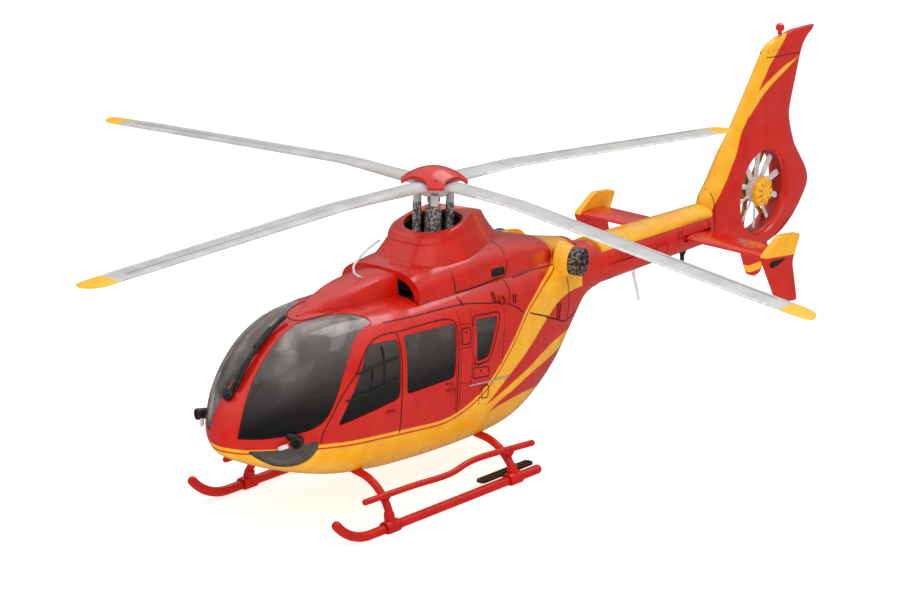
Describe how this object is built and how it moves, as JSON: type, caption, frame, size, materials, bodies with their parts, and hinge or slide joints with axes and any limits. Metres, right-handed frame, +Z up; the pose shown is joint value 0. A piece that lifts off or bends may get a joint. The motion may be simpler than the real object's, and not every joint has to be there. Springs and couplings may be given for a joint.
{
  "type": "helicopter scale model",
  "caption": "Display model of a light rescue helicopter on skids, with a turning rotor over an engine cowling and a shrouded tail fan in its fin.",
  "frame": {"origin": "middle of the bounding box's base, on the ground plane under the skids", "axes": "+Z up along the rotor mast, +Y towards the tail, +X to port"},
  "size_m": [0.1412, 0.1722, 0.0551],
  "materials": {
    "red_paint": "glossy paint over moulded plastic",
    "yellow_paint": "glossy paint over moulded plastic",
    "clear_plastic": "clear smoky plastic",
    "blade_grey": "satin light grey",
    "black_plastic": "satin black",
    "interior_grey": "matt dark grey",
    "dark_steel": "dark metallic",
    "white_plastic": "satin white"
  },
  "bodies": {
    "airframe": {"cabin_floor": "interior_grey", "cabin_window_port": "clear_plastic", "cabin_window_starboard": "clear_plastic", "chin_window_port": "clear_plastic", "chin_window_starboard": "clear_plastic", "end_plate_port": "red_paint", "end_plate_starboard": "red_paint", "engine_cowling": "red_paint", "exhaust_port": "dark_steel", "exhaust_starboard": "dark_steel", "fan_stator": "dark_steel", "fin_beacon": "red_paint", "front_cross_tube": "red_paint", "front_fairing": "red_paint", "fuselage_port": "red_paint", "fuselage_starboard": "red_paint", "gearbox": "black_plastic", "instrument_panel": "black_plastic", "intake_screen": "black_plastic", "long_aerial": "white_plastic", "mast_fairing": "red_paint", "nose_ballast": "dark_steel", "nose_lamp_port": "black_plastic", "nose_lamp_starboard": "black_plastic", "pilot_seat_port": "interior_grey", "pilot_seat_starboard": "interior_grey", "pilot_window_port": "clear_plastic", "pilot_window_starboard": "clear_plastic", "rear_bench": "interior_grey", "rear_bulkhead": "interior_grey", "rear_cross_tube": "red_paint", "rear_window_port": "clear_plastic", "rear_window_starboard": "clear_plastic", "roof_rail": "white_plastic", "shaft_cover": "yellow_paint", "short_aerial": "black_plastic", "skid_board_port": "black_plastic", "skid_board_starboard": "black_plastic", "skid_port": "red_paint", "skid_starboard": "red_paint", "stabiliser": "red_paint", "step_port": "red_paint", "step_starboard": "red_paint", "tail_boom": "red_paint", "tail_fin": "red_paint", "transmission_deck": "interior_grey", "ventral_fin": "red_paint", "windscreen_port": "clear_plastic", "windscreen_starboard": "clear_plastic", "wiper": "black_plastic"},
    "main_rotor": {"rotor_mast": "dark_steel", "control_rods": "dark_steel", "rotor_hub": "blade_grey", "hub_cap": "red_paint", "main_blade_1": "blade_grey", "main_blade_2": "blade_grey", "main_blade_3": "blade_grey", "main_blade_4": "blade_grey"},
    "tail_fan": {"fan_rotor": "white_plastic", "fan_spinner": "yellow_paint"}
  },
  "joints": [
    {"name": "main_rotor_spin", "type": "hinge", "parent": "airframe", "child": "main_rotor", "pos_m": [0, -0.0155, 0.0452], "axis": [0, 0, 1], "continuous": true},
    {"name": "tail_fan_spin", "type": "hinge", "parent": "airframe", "child": "tail_fan", "pos_m": [0, 0.0705, 0.0274], "axis": [1, 0, 0], "continuous": true}
  ]
}
